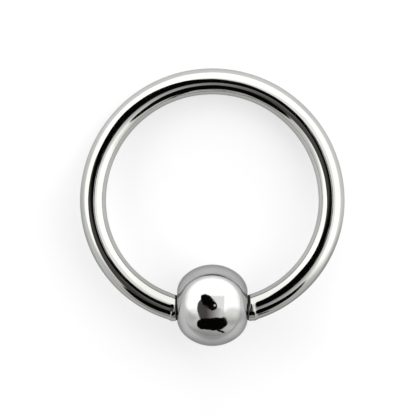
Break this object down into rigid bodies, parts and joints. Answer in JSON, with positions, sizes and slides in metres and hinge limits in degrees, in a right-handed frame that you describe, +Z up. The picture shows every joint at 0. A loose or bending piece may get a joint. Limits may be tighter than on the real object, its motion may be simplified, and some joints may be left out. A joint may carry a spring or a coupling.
{
  "type": "captive bead ring",
  "caption": "Round steel wire bent into an open ring, its ends held in dimples of a ball-shaped bead that closes it.",
  "frame": {"origin": "on the ground, below the middle of the whole as it lies by itself on the far side of the wire and the underside of the bead", "axes": "+Z up; +Y from the bead across the ring to the far side of the wire; +X along the line through the wire's two ends, which is the bead's own axis"},
  "size_m": [0.0162, 0.0168, 0.005],
  "materials": {
    "wire_steel": "mirror-polished surgical steel wire with filed and tumbled ends",
    "bead_steel": "mirror-polished surgical steel ball with turned dimples"
  },
  "bodies": {
    "ring": {"ring": "wire_steel"},
    "bead": {"bead": "bead_steel"}
  },
  "joints": [
    {"name": "bead_spin", "type": "hinge", "parent": "ring", "child": "bead", "pos_m": [0, -0.00595, 0.0025], "axis": [1, 0, 0], "continuous": true}
  ]
}
